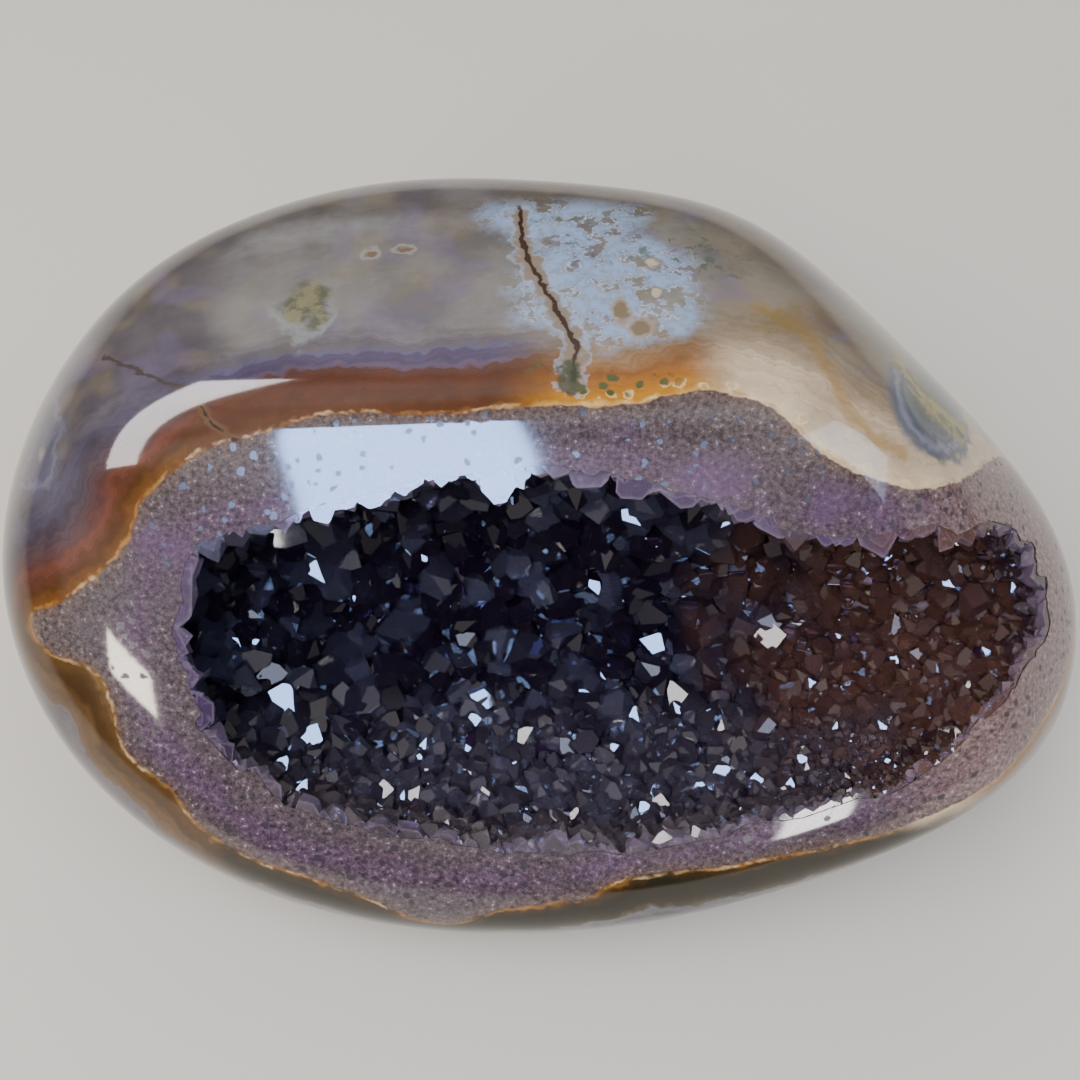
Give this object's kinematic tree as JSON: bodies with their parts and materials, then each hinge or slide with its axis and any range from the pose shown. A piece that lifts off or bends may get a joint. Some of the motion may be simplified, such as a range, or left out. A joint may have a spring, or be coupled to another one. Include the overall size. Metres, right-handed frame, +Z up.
{
  "type": "geode half",
  "caption": "Polished agate geode half: an egg-shaped stone that rests on a ground flat, with a ground front face that opens on a hollow lined with dark amethyst crystals.",
  "frame": {"origin": "a point of the ground flat on the stone's underside, below the stone's middle", "axes": "+Z up from the surface that it rests on, +X along the stone's length, and the face with the hollow looks towards -Y and up"},
  "size_m": [0.1456, 0.1033, 0.0617],
  "materials": {
    "agate": "polished",
    "amethyst": "natural crystal faces"
  },
  "bodies": {
    "root": {"agate_stone": "agate", "amethyst_crust": "amethyst"}
  },
  "joints": []
}
